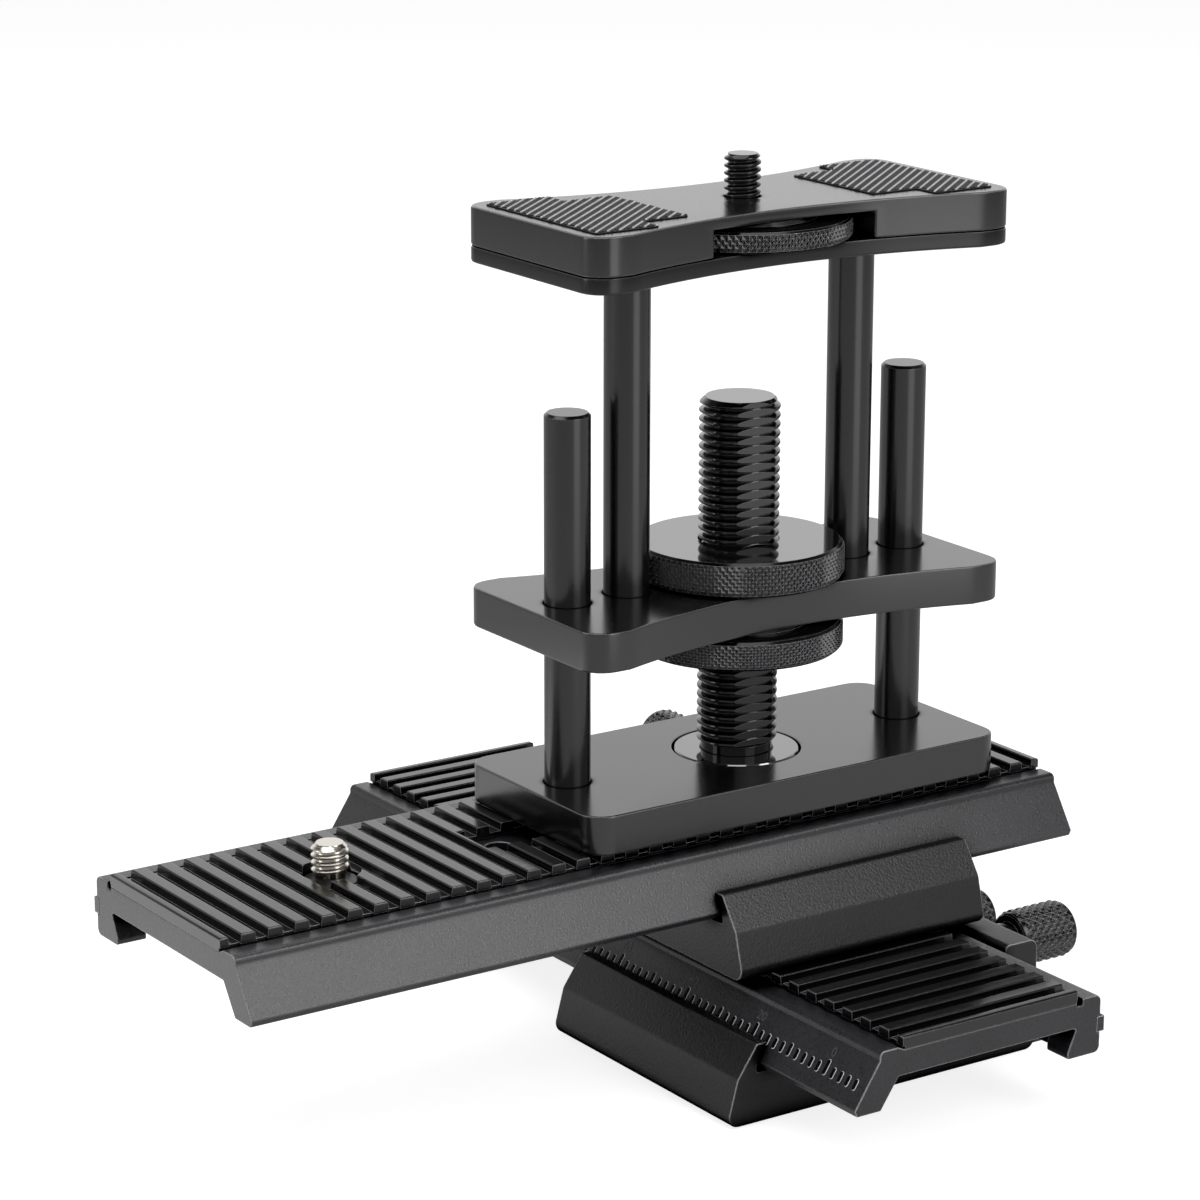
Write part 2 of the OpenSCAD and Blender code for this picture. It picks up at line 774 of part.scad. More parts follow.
module guide_rod_left() guide_rod(-1);
module guide_rod_right() guide_rod(1);

// Lift plate: slides on the guide rods, held between the two nuts
module lift_plate() {
    color(ANODISED) riser() translate([0, 0, lift_at])
        difference() {
            waisted_slab(lift_t);
            translate([0, 0, -over]) cylinder(r = lead_r + lead_clear, h = lift_t + 2 * over);
            at_both(rod_gap) translate([0, 0, -over]) cylinder(r = rod_r + fit, h = lift_t + 2 * over);
            at_both(post_gap) screw_sink(lift_t);
            at_both(post_gap) translate([0, 0, lift_t - seat_d]) cylinder(r = rod_r, h = seat_d + over);
        }
}

module lower_nut() {
    color(ANODISED) riser() translate([0, 0, lift_at - nut_boss_t - lower_nut_t])
        nut(lower_nut_t, lower_nut_t, lower_nut_t + nut_boss_t);
}

module upper_nut() {
    color(ANODISED) riser() translate([0, 0, lift_at + lift_t + fit]) nut(upper_nut_t - fit, 0, upper_nut_t - fit);
}

module post_foot_screws() color(STEEL) riser() translate([0, 0, lift_at]) at_both(post_gap) small_screw();

module standing_post(side) {
    color(ANODISED) riser() translate([side * post_gap, 0, lift_at + lift_t - seat_d]) post();
}

module post_left() standing_post(-1);
module post_right() standing_post(1);

module bridge_plate() {
    color(ANODISED) riser() translate([0, 0, bridge_at])
        difference() {
            waisted_slab(bridge_t);
            at_both(post_gap) translate([0, 0, -over]) cylinder(r = small_screw_r, h = bridge_t + 2 * over);
        }
}

// Head plate: a window from front to back holds the thumbwheel
head_bite = head_t + bridge_t + small_bite - small_head_t;

module head_plate() {
    color(ANODISED) riser() translate([0, 0, head_at])
        difference() {
            waisted_slab(head_t);
            translate([-window_w / 2, -plate_d / 2 - over, -over]) cube([window_w, plate_d + 2 * over, window_h + over]);
            translate([0, 0, -over]) cylinder(r = wheel_r + wheel_room, h = window_h + over);
            cylinder(r = shank_r + head_hole_fit, h = head_t + over);
            at_both(post_gap) translate([0, 0, head_t]) mirror([0, 0, 1]) screw_sink(head_t);
        }
}

module head_plate_screws() {
    color(STEEL) riser() translate([0, 0, head_top]) at_both(post_gap) mirror([0, 0, 1])
        turned([[0, 0], [small_head_r, 0], [small_screw_r, small_head_t], [small_screw_r, head_bite], [0, head_bite]]);
}

module thumbwheel() {
    color(ANODISED) riser() translate([0, 0, head_at + wheel_play])
        difference() {
            turned([
                [0, 0], [wheel_r - nut_chamfer, 0], [wheel_r, nut_chamfer], [wheel_r, wheel_t - nut_chamfer],
                [wheel_r - nut_chamfer, wheel_t], [nut_boss_r, wheel_t], [nut_boss_r, wheel_t + wheel_boss_t],
                [0, wheel_t + wheel_boss_t]
            ]);
            translate([0, 0, -over]) cylinder(r = shank_r, h = wheel_t + wheel_boss_t + 2 * over);
        }
}

module head_camera_screw() {
    color(ANODISED) riser() translate([0, 0, head_top])
        turned([
            [0, 2 * wheel_play - head_t], [shank_r, 2 * wheel_play - head_t],
            [shank_r, thread_gap], [camera_r, thread_gap], [camera_r, head_stud_h - tip_chamfer],
            [camera_r - tip_chamfer, head_stud_h], [0, head_stud_h]
        ]);
}

// Grip pad: a wide end with a narrower tongue towards the middle
grip_out = plate_w / 2 - grip_edge;
grip_step = grip_out - grip_wide_w;
grip_in = grip_step - grip_narrow_w;

module grip_pad() {
    translate([0, 0, head_top]) linear_extrude(height = grip_t)
        polygon(outline([
            [grip_out, -grip_wide_d / 2, grip_round], [grip_out, grip_wide_d / 2, grip_round],
            [grip_step, grip_wide_d / 2, grip_round], [grip_step, grip_narrow_d / 2, grip_round],
            [grip_in, grip_narrow_d / 2, grip_round], [grip_in, -grip_narrow_d / 2, grip_round],
            [grip_step, -grip_narrow_d / 2, grip_round], [grip_step, -grip_wide_d / 2, grip_round]
        ]));
}

module grip_pad_left() color(RUBBER) riser() mirror([1, 0, 0]) grip_pad();
module grip_pad_right() color(RUBBER) riser() grip_pad();

lower_carriage();
lower_bush();
lower_lock_screw();
lower_lock_knob();
lower_pinion();
lower_drive_knob();
lower_rail();
lower_rack();
lower_brake_strip();
lower_pad();
coupling_screw();
upper_carriage();
upper_bush();
upper_lock_screw();
upper_lock_knob();
upper_pinion();
upper_drive_knob();
upper_rail();
upper_rack();
upper_brake_strip();
upper_pad();
rail_camera_screw();
screw_clip();
riser_screw();
riser_base();
rod_screws();
screw_flange();
lead_screw();
guide_rod_left();
guide_rod_right();
lift_plate();
lower_nut();
upper_nut();
post_foot_screws();
post_left();
post_right();
bridge_plate();
head_plate();
head_plate_screws();
thumbwheel();
head_camera_screw();
grip_pad_left();
grip_pad_right();
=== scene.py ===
"""Looks of the macro focusing rail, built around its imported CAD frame. Sizes are in millimetres
and become metres where a mesh is made. Lamps, floor and backdrop are in metres."""

import math

import bmesh
import bpy
from mathutils import Matrix, Vector


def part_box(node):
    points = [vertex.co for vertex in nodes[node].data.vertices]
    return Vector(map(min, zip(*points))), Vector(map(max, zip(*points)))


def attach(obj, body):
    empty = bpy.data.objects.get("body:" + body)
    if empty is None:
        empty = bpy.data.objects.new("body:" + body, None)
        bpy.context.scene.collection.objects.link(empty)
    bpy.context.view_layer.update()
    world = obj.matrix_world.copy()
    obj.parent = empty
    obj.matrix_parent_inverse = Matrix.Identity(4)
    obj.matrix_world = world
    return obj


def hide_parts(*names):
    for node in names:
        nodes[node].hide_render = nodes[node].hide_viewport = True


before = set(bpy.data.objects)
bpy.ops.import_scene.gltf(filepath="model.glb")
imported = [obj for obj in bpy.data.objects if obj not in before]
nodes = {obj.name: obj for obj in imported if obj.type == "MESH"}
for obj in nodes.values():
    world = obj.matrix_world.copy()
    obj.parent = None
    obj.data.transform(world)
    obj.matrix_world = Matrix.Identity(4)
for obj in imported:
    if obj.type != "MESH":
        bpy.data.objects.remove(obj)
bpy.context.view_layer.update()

MM = 0.001
SIDES = ((-1, "left"), (1, "right"))

# Upright axes: the riser's lead screw, the rail's camera screw, and the lower pad's round hole
RISER = (-2.85, 15.75)
STUD = (-86.2, 15.75)
PAD_HOLE = (0, 84.5)


# Camera, light and floor

# How bright the world is around the part, and in its reflections away from and at the backdrop
AMBIENT = 0.45
MIRRORED_AWAY = 0.50
MIRRORED_BACKDROP = 1.15
BACKDROP = (0.562, 0.827, 0)

# Cosines to the backdrop's direction: its near edge, and where it is in full
BACKDROP_EDGE = 0.45
BACKDROP_FULL = 0.85

# The world's greys, at shares of the way from straight down to straight up
SKY_LOW = (0.66, "#ffffff")
SKY_WALL = (0.80, "#8a8a8a")
SKY_TOP = (1.0, "#6c6c6c")

FLOOR_SIZE = 12
FLOOR_DROP = 0.0002
FLOOR_GREY = "#c8c8c8"
FLOOR_GLOW = 0.82

# A pool of light painted on the floor as glow, not cast by a lamp, that only reflections find,
# bright within one reach of its spot and dim past the other
POOL_SPOT = (-0.18, 0.105, 0)
POOL_REACH = (0.05, 0.13)
POOL_BRIGHT = 0.92
POOL_DIM = 0.12


def placed(x_axis, y_axis, z_axis, place):
    """The matrix that turns the world's axes to these and moves the origin to a place in metres."""
    rows = zip(x_axis, y_axis, z_axis, place)
    return Matrix([*rows, (0, 0, 0, 1)])


def camera_at(place, azimuth, elevation, roll, lens):
    """Looks along the view that was solved from the photograph's straight edges."""
    az, el, turn = (math.radians(a) for a in (azimuth, elevation, roll))
    back = Vector((math.sin(az) * math.cos(el), -math.cos(az) * math.cos(el), math.sin(el)))
    right = Vector((math.cos(az), math.sin(az), 0))
    up = back.cross(right)
    across = right * math.cos(turn) + up * math.sin(turn)
    above = up * math.cos(turn) - right * math.sin(turn)
    data = bpy.data.cameras.new("camera")
    data.lens = lens
    data.sensor_width = 36
    data.clip_start = 0.01
    data.clip_end = 50
    cam = bpy.data.objects.new("camera", data)
    bpy.context.scene.collection.objects.link(cam)
    cam.matrix_world = placed(across, above, back, [p * MM for p in place])
    bpy.context.scene.camera = cam


def softbox(name, place, aim, width, height, watts):
    """A soft rectangular lamp, turned to its aim and hidden from the camera."""
    data = bpy.data.lights.new(name, "AREA")
    data.shape = "RECTANGLE"
    data.size = width
    data.size_y = height
    data.energy = watts
    lamp = bpy.data.objects.new(name, data)
    bpy.context.scene.collection.objects.link(lamp)
    lamp.visible_camera = False
    lamp.location = place
    lamp.rotation_euler = (Vector(aim) - Vector(place)).to_track_quat("-Z", "Y").to_euler()


def linear(colour):
    """An sRGB hex value as linear red, green, blue and alpha."""
    parts = [int(colour[i:i + 2], 16) / 255 for i in (1, 3, 5)]
    return [c / 12.92 if c <= 0.04045 else ((c + 0.055) / 1.055) ** 2.4 for c in parts] + [1]


def add(tree, kind, inputs=None, **settings):
    """Adds a node with its settings. An input is a value, or the output that feeds it."""
    node = tree.nodes.new(kind)
    for name, value in settings.items():
        setattr(node, name, value)
    for socket, value in (inputs or {}).items():
        if isinstance(value, bpy.types.NodeSocket):
            tree.links.new(value, node.inputs[socket])
        else:
            node.inputs[socket].default_value = value
    return node


def seen_directly(tree, path):
    """1 for what the camera sees, also through something clear, and 0 for other light."""
    return add(tree, "ShaderNodeMath", {
        0: path.outputs["Is Camera Ray"], 1: path.outputs["Is Transmission Ray"]},
        operation="MAXIMUM").outputs[0]


def studio_world():
    """White where the camera sees it. It lights the part more dimly, greyest from overhead, and
    the part's reflections find it brightest at the backdrop."""
    world = bpy.data.worlds.new("studio")
    bpy.context.scene.world = world
    world.use_nodes = True
    tree = world.node_tree
    tree.nodes.clear()
    path = add(tree, "ShaderNodeLightPath")
    place = add(tree, "ShaderNodeTexCoord").outputs["Generated"]
    height = add(tree, "ShaderNodeSeparateXYZ", {0: place}).outputs["Z"]
    ramp = add(tree, "ShaderNodeValToRGB", {0: add(tree, "ShaderNodeMapRange", {
        "Value": height, "From Min": -1.0, "From Max": 1.0}).outputs[0]})
    stops = ramp.color_ramp.elements
    for stop, (share, colour) in zip(stops, (SKY_LOW, SKY_WALL)):
        stop.position = share
        stop.color = linear(colour)
    stops.new(SKY_TOP[0]).color = linear(SKY_TOP[1])
    facing = add(tree, "ShaderNodeVectorMath", {0: place, 1: BACKDROP},
                 operation="DOT_PRODUCT").outputs["Value"]
    mirrored = add(tree, "ShaderNodeMapRange", {
        "Value": facing, "From Min": BACKDROP_EDGE, "From Max": BACKDROP_FULL,
        "To Min": MIRRORED_AWAY, "To Max": MIRRORED_BACKDROP}).outputs[0]
    level = add(tree, "ShaderNodeMapRange", {
        "Value": path.outputs["Is Glossy Ray"], "To Min": AMBIENT, "To Max": mirrored}).outputs[0]
    around = add(tree, "ShaderNodeBackground", {"Color": ramp.outputs["Color"], "Strength": level})
    plain = add(tree, "ShaderNodeBackground", {"Color": (1, 1, 1, 1), "Strength": 1.0})
    mix = add(tree, "ShaderNodeMixShader", {
        0: seen_directly(tree, path), 1: around.outputs[0], 2: plain.outputs[0]})
    add(tree, "ShaderNodeOutputWorld", {"Surface": mix.outputs[0]})


def select_only(*objects):
    bpy.ops.object.select_all(action="DESELECT")
    for o in objects:
        o.select_set(True)
    bpy.context.view_layer.objects.active = objects[0]


def studio_floor():
    """A pale floor that keeps the soft shadow and is otherwise as white as the backdrop."""
    bpy.ops.object.select_all(action="DESELECT")
    bpy.ops.mesh.primitive_plane_add(size=FLOOR_SIZE, location=(0, 0, -FLOOR_DROP))
    floor = bpy.context.object
    floor.name = "floor"
    material, tree, shader = start_material("studio_paper")
    shader.inputs["Base Color"].default_value = linear(FLOOR_GREY)
    shader.inputs["Roughness"].default_value = 0.9
    shader.inputs["Specular IOR Level"].default_value = 0.0
    path = add(tree, "ShaderNodeLightPath")
    direct = add(tree, "ShaderNodeMath", {0: seen_directly(tree, path), 1: FLOOR_GLOW},
                 operation="MULTIPLY").outputs[0]
    where = add(tree, "ShaderNodeTexCoord").outputs["Object"]
    apart = add(tree, "ShaderNodeVectorMath", {0: where, 1: POOL_SPOT},
                operation="DISTANCE").outputs["Value"]
    pool = add(tree, "ShaderNodeMapRange", {
        "Value": apart, "From Min": POOL_REACH[0], "From Max": POOL_REACH[1],
        "To Min": POOL_BRIGHT, "To Max": POOL_DIM}).outputs[0]
    glow = add(tree, "ShaderNodeMath", {0: path.outputs["Is Glossy Ray"], 1: pool, 2: direct},
               operation="MULTIPLY_ADD")
    shader.inputs["Emission Color"].default_value = (1, 1, 1, 1)
    tree.links.new(glow.outputs[0], shader.inputs["Emission Strength"])
    floor.data.materials.append(material)


# Materials

# Noise runs mostly between these values
NOISE_LOW = 0.3
NOISE_HIGH = 0.7
NOISE_ROUGHNESS = 0.55

# How much of an anodised colour's change is slow cloud, and how much is grain
CLOUD_SHARE = 0.4
GRAIN_SHARE = 0.6

# Cosines between an edge's rounded normal and the face's own: where the painted edge highlight
# starts and is full
EDGE_HIGHLIGHT_STARTS = 0.995
EDGE_HIGHLIGHT_FULL = 0.92

# Shares of open sky for the painted shade in shut-in corners: under the first a corner is painted
# black, and past the second it has its own colour
NOOK_FULL_SHADE = 0.62
NOOK_NO_SHADE = 0.95
NOOK_SHADE_COLOUR = "#020202"


def start_material(name):
    material = bpy.data.materials.new(name)
    material.use_nodes = True
    return material, material.node_tree, material.node_tree.nodes["Principled BSDF"]


def noise(tree, per_mm, detail=3.0, stretch=(1, 1, 1)):
    """Noise on Object coordinates, with its grains counted per millimetre."""
    place = add(tree, "ShaderNodeTexCoord").outputs["Object"]
    grid = add(tree, "ShaderNodeMapping", {"Vector": place, "Scale": [1000 * s for s in stretch]})
    return add(tree, "ShaderNodeTexNoise", {
        "Vector": grid.outputs[0], "Scale": per_mm, "Detail": detail,
        "Roughness": NOISE_ROUGHNESS}).outputs[0]


def spread(tree, value, low, high):
    """Noise stretched to run from low to high."""
    return add(tree, "ShaderNodeMapRange", {
        "Value": value, "From Min": NOISE_LOW, "From Max": NOISE_HIGH,
        "To Min": low, "To Max": high}).outputs[0]


def edge_normal_and_highlight_mask(tree, radius):
    """The rounded normal of an edge, and how strongly a point lies on an edge, where a painted
    highlight goes.
    """
    soft = add(tree, "ShaderNodeBevel", {"Radius": radius * MM}, samples=6).outputs[0]
    flat = add(tree, "ShaderNodeNewGeometry").outputs["Normal"]
    match = add(tree, "ShaderNodeVectorMath", {0: soft, 1: flat},
                operation="DOT_PRODUCT").outputs["Value"]
    edge = add(tree, "ShaderNodeMapRange", {
        "Value": match, "From Min": EDGE_HIGHLIGHT_STARTS, "From Max": EDGE_HIGHLIGHT_FULL,
        "To Min": 0.0, "To Max": 1.0}).outputs[0]
    return soft, edge


def anodised(name, dark, light, edge_highlight_colour, *, gloss, per_mm, grit, edge_radius=0.22, ior=1.6,
             stretch=(1, 1, 1), vary=0.06, nook_shade=0.0, relief=0.04):
    """Black anodised aluminium: a thin hard oxide over blasted metal that mirrors softly at a low
    angle. Its grain shows as faint speckle. Its edges get a pale colour, a painted highlight for
    the light its rounded edges catch. The real grain is finer than per_mm says, and is drawn as
    coarse as it needs to show. relief is its height in mm, gloss the roughness and vary how far
    that strays. Corners shut in within nook mm are painted black, a painted shade, and mirror less."""
    material, tree, shader = start_material(name)
    grain = noise(tree, per_mm, stretch=stretch)
    cloud = noise(tree, per_mm=0.05, detail=2.0)
    shade = add(tree, "ShaderNodeMath", {
        0: spread(tree, cloud, 0.0, CLOUD_SHARE),
        1: spread(tree, grain, 0.0, GRAIN_SHARE)}).outputs[0]
    tone = add(tree, "ShaderNodeMixRGB", {0: shade, 1: linear(dark), 2: linear(light)}).outputs[0]
    soft, edge = edge_normal_and_highlight_mask(tree, edge_radius)
    finish = add(tree, "ShaderNodeMixRGB", {0: edge, 1: tone, 2: linear(edge_highlight_colour)}).outputs[0]
    # Painted shade: where nearby surfaces shut a point in, its colour is blended to black and its
    # reflection dimmed
    if nook_shade:
        open_sky = add(tree, "ShaderNodeAmbientOcclusion", {"Distance": nook_shade * MM},
                       samples=8).outputs["AO"]
        clear = add(tree, "ShaderNodeMapRange", {
            "Value": open_sky, "From Min": NOOK_FULL_SHADE, "From Max": NOOK_NO_SHADE}).outputs[0]
        finish = add(tree, "ShaderNodeMixRGB", {
            0: clear, 1: linear(NOOK_SHADE_COLOUR), 2: finish}).outputs[0]
        mirror = add(tree, "ShaderNodeMath", {0: clear, 1: 0.5}, operation="MULTIPLY").outputs[0]
        tree.links.new(mirror, shader.inputs["Specular IOR Level"])
    tree.links.new(finish, shader.inputs["Base Color"])
    tree.links.new(spread(tree, grain, gloss - vary, gloss + vary), shader.inputs["Roughness"])
    tree.links.new(add(tree, "ShaderNodeBump", {
        "Strength": grit, "Distance": relief * MM, "Height": grain, "Normal": soft}).outputs[0],
        shader.inputs["Normal"])
    shader.inputs["IOR"].default_value = ior
    return material


def rubber(name, colour, light, edge_highlight_tone, *, gloss, ior):
    """Moulded natural rubber: soft black with a faint bloom, no sharp reflections, and edges given
    a pale colour as a painted highlight."""
    material, tree, shader = start_material(name)
    grain = noise(tree, per_mm=1.2)
    bloom = noise(tree, per_mm=0.12, detail=4.0)
    tone = add(tree, "ShaderNodeMixRGB", {
        0: spread(tree, bloom, 0.0, 1.0), 1: linear(colour), 2: linear(light)}).outputs[0]
    soft, edge = edge_normal_and_highlight_mask(tree, radius=0.16)
    finish = add(tree, "ShaderNodeMixRGB", {0: edge, 1: tone, 2: linear(edge_highlight_tone)}).outputs[0]
    tree.links.new(finish, shader.inputs["Base Color"])
    tree.links.new(spread(tree, grain, gloss - 0.04, gloss + 0.04), shader.inputs["Roughness"])
    tree.links.new(add(tree, "ShaderNodeBump", {
        "Strength": 0.10, "Distance": 0.04 * MM, "Height": grain, "Normal": soft}).outputs[0],
        shader.inputs["Normal"])
    shader.inputs["IOR"].default_value = ior
    return material


def steel(name, dark, light, gloss):
    """Turned stainless steel: bright, with faint rings from the tool."""
    material, tree, shader = start_material(name)
    rings = noise(tree, per_mm=0.6, detail=1.0, stretch=(0.1, 0.1, 6.0))
    shader.inputs["Metallic"].default_value = 1.0
    tone = add(tree, "ShaderNodeMixRGB", {
        0: spread(tree, rings, 0.0, 1.0), 1: linear(dark), 2: linear(light)}).outputs[0]
    tree.links.new(tone, shader.inputs["Base Color"])
    tree.links.new(spread(tree, rings, gloss - 0.04, gloss + 0.06), shader.inputs["Roughness"])
    tree.links.new(add(tree, "ShaderNodeBump", {
        "Strength": 0.05, "Distance": 0.02 * MM, "Height": rings}).outputs[0],
        shader.inputs["Normal"])
    return material


def bronze(name, dark, light):
    """Sintered bronze, oiled and dark, for the bushes. Its pores show as a fine mottle."""
    material, tree, shader = start_material(name)
    pores = noise(tree, per_mm=3.0)
    shader.inputs["Metallic"].default_value = 1.0
    tone = add(tree, "ShaderNodeMixRGB", {
        0: spread(tree, pores, 0.0, 1.0), 1: linear(dark), 2: linear(light)}).outputs[0]
    tree.links.new(tone, shader.inputs["Base Color"])
    tree.links.new(spread(tree, pores, 0.35, 0.5), shader.inputs["Roughness"])
    return material


def mark(name, dark, light, shine=0.5):
    """Bare or cut surface of a small mark. A pale one is a painted highlight where a cut edge and a
    ridge catch the light, and a black one is painted shade on a groove's floor."""
    material, tree, shader = start_material(name)
    grain = noise(tree, per_mm=3.0)
    tone = add(tree, "ShaderNodeMixRGB", {
        0: spread(tree, grain, 0.0, 1.0), 1: linear(dark), 2: linear(light)}).outputs[0]
    tree.links.new(tone, shader.inputs["Base Color"])
    shader.inputs["Roughness"].default_value = 0.45
    shader.inputs["Specular IOR Level"].default_value = shine
    return material


# The anodised finishes' third colour and the rubbers' fourth are painted highlights along edges
PLATE = anodised("black_anodised_plate", "#09090a", "#0e0e0f", "#8c8c90", gloss=0.20, per_mm=1.2,
                 grit=0.02, edge_radius=0.24, ior=1.8, vary=0.015, nook_shade=1.6)
BRIDGE = anodised("black_anodised_bridge", "#060607", "#0a0a0b", "#77777a", gloss=0.22, per_mm=1.2,
                  grit=0.02, edge_radius=0.24, ior=1.55, vary=0.015, nook_shade=1.6)
RAIL = anodised("black_anodised_rail", "#060608", "#303035", "#dcdce0", gloss=0.30, per_mm=3.4,
                grit=0.75, edge_radius=0.34, ior=1.66, stretch=(1, 1, 0.5), vary=0.04, nook_shade=4.0,
                relief=0.06)
CARRIAGE = anodised("black_anodised_carriage", "#060607", "#151517", "#dcdce0", gloss=0.33,
                    per_mm=2.2, grit=0.75, edge_radius=0.34, ior=1.56, vary=0.03, nook_shade=4.0,
                    relief=0.09)
ROD = anodised("satin_anodised_rod", "#0a0a0b", "#0f0f10", "#6c6c6f", gloss=0.22, per_mm=1.0,
               grit=0.01, edge_radius=0.15, ior=1.7, vary=0.01)
KNURL = anodised("knurled_anodised", "#020203", "#050506", "#d0d0d4", gloss=0.16, per_mm=2.5,
                 grit=0.05, edge_radius=0.07, ior=1.5, vary=0.02)
GLOSS = anodised("gloss_black_oxide", "#040405", "#070708", "#5a5a5d", gloss=0.10, per_mm=1.2,
                 grit=0.02, edge_radius=0.10, ior=1.55, vary=0.02)
DISC = anodised("polished_anodised_face", "#101011", "#151516", "#77777a", gloss=0.07, per_mm=1.2,
                grit=0.01, edge_radius=0.12, ior=3.0, vary=0.02)
BORE = anodised("black_oxide_steel", "#0d0d0e", "#121213", "#3f3f42", gloss=0.35, per_mm=1.5,
                grit=0.15)
RIBS = rubber("ribbed_rubber", "#050506", "#09090a", "#8e8e92", gloss=0.16, ior=1.72)
GRIP = rubber("grip_rubber", "#060607", "#0b0b0c", "#101011", gloss=0.42, ior=1.45)
BRIGHT = steel("turned_steel", "#cfc9c0", "#ebe6dd", 0.20)
BRONZE = bronze("oiled_bronze", "#4a3a22", "#6a5330")
# The ticks' rims are a painted highlight, and their grooves painted shade
RIM_HIGHLIGHT = mark("engraved_rim_painted_highlight", "#dcdce0", "#fafafe")
GROOVE_SHADE = mark("engraved_groove_painted_shade", "#010101", "#030303", 0.05)
FAINT = mark("faint_engraving", "#48484b", "#67676b")
# The grip's bright ridges are painted highlights for the glints along its moulded lines
GLINT = mark("painted_glint_rubber_ridge", "#d2d2d4", "#f2f2f4")


def paint(material, *names):
    """Gives solids of the frame their finish."""
    for name in names:
        mesh = nodes[name].data
        for i in range(len(mesh.materials)):
            mesh.materials[i] = material


# Making pieces

# Points nearer than this are one. A thread's slivers need a finer reach.
MERGE = 0.002
THREAD_MERGE = 0.0005
CUT_REACH = 0.00001

# Faces that meet within the first angle are one, and edges past the second are rounded
SAME_PLANE = math.radians(0.6)
SHARP = math.radians(38)

# The pads' round holes, whose edges stay sharp
PAD_HOLE_RADIUS = 5.3
PAD_HOLE_MARGIN = 0.6

# Share of a knurl's opening between grooves that its diamond's flat top fills
DIAMOND_TOP = 0.3

# One pitch of a rounded thread: share of the pitch, share of the depth
THREAD = [(0, 0), (0.10, 0.10), (0.24, 0.62), (0.36, 0.93),
          (0.5, 1), (0.64, 0.93), (0.76, 0.62), (0.90, 0.10)]

# How a piece's own height is turned to lie along an axis
FACING = {
    "Z": Matrix.Identity(3),
    "X": Matrix(((0, 0, 1), (1, 0, 0), (0, 1, 0))),
    "Y": Matrix(((0, 1, 0), (0, 0, 1), (1, 0, 0))),
}


def mesh_piece(name, points, faces, centre=(0, 0, 0), axis="Z"):
    """A mesh from points in mm around a centre, its own height along the axis."""
    turn = FACING[axis]
    mesh = bpy.data.meshes.new(name)
    mesh.from_pydata([(turn @ Vector(p) + Vector(centre)) * MM for p in points], [], faces)
    piece = bpy.data.objects.new(name, mesh)
    bpy.context.scene.collection.objects.link(piece)
    return piece


def copied(name, node):
    """A new piece with a copy of a solid's mesh."""
    piece = bpy.data.objects.new(name, nodes[node].data.copy())
    bpy.context.scene.collection.objects.link(piece)
    return piece


def edit(piece, select="SELECT"):
    select_only(piece)
    bpy.ops.object.mode_set(mode="EDIT")
    bpy.ops.mesh.select_mode(type="VERT")
    bpy.ops.mesh.select_all(action=select)


def close(piece, gap=MERGE):
    """Merges doubled points and points every face outwards."""
    edit(piece)
    bpy.ops.mesh.remove_doubles(threshold=gap * MM)
    bpy.ops.mesh.normals_make_consistent(inside=False)
    bpy.ops.object.mode_set(mode="OBJECT")


def cut(piece, point, normal):
    """Cuts away what lies past a plane and closes the cut."""
    edit(piece)
    bpy.ops.mesh.bisect(plane_co=Vector(point) * MM, plane_no=normal, use_fill=True,
                        clear_outer=True, threshold=CUT_REACH * MM)
    bpy.ops.object.mode_set(mode="OBJECT")


def done(piece, body, material, slot, *replaced, smooth=32):
    """Finishes a piece: its material, its shading, its body, and what it replaces. slot is not
    used.
    """
    piece.data.materials.clear()
    piece.data.materials.append(material)
    select_only(piece)
    bpy.ops.object.shade_smooth_by_angle(angle=math.radians(smooth))
    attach(piece, body)
    if replaced:
        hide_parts(*replaced)


def softened(node, body, material, slot, width, chosen=None):
    """A copy of one of the frame's solids with its sharp edges rounded, as a blasted edge is.
    chosen tells from an edge's middle in mm whether it is rounded."""
    piece = copied(node + "_finished", node)
    edit(piece)
    bpy.ops.mesh.remove_doubles(threshold=MERGE * MM)
    bpy.ops.mesh.dissolve_limited(angle_limit=SAME_PLANE)
    bpy.ops.object.mode_set(mode="OBJECT")
    bm = bmesh.new()
    bm.from_mesh(piece.data)
    weight = bm.edges.layers.float.new("bevel_weight_edge")
    for line in bm.edges:
        middle = (line.verts[0].co + line.verts[1].co) / 2 / MM
        sharp = len(line.link_faces) == 2 and line.calc_face_angle() > SHARP
        line[weight] = 1.0 if sharp and (chosen is None or chosen(middle)) else 0.0
    bm.to_mesh(piece.data)
    bm.free()
    bevel = piece.modifiers.new("edge_round", "BEVEL")
    bevel.width = width * MM
    bevel.segments = 2
    bevel.limit_method = "WEIGHT"
    bevel.use_clamp_overlap = False
    bpy.ops.object.modifier_apply(modifier=bevel.name)
    done(piece, body, material, slot, node)
    weights = piece.modifiers.new("flat_faces", "WEIGHTED_NORMAL")
    weights.keep_sharp = True
    bpy.ops.object.modifier_apply(modifier=weights.name)


def clear_of(low, high):
    """Chooses the edges outside a box, where a bore's thin slivers leave no room for a rounding."""
    def outside(middle):
        return not all(a < m < b for a, m, b in zip(low, middle, high))
    return outside


def rib_tops(height, hole):
    """Chooses the edges of a pad over a height, but for those of its round hole."""
    def chosen(middle):
        reach = math.hypot(middle.x - hole[0], middle.y - hole[1])
        return middle.z > height and abs(reach - PAD_HOLE_RADIUS) > PAD_HOLE_MARGIN
    return chosen


def joined(name, *pieces):
    select_only(*pieces)
    bpy.ops.object.join()
    whole = bpy.context.object
    whole.name = name
    whole.data.name = name
    return whole


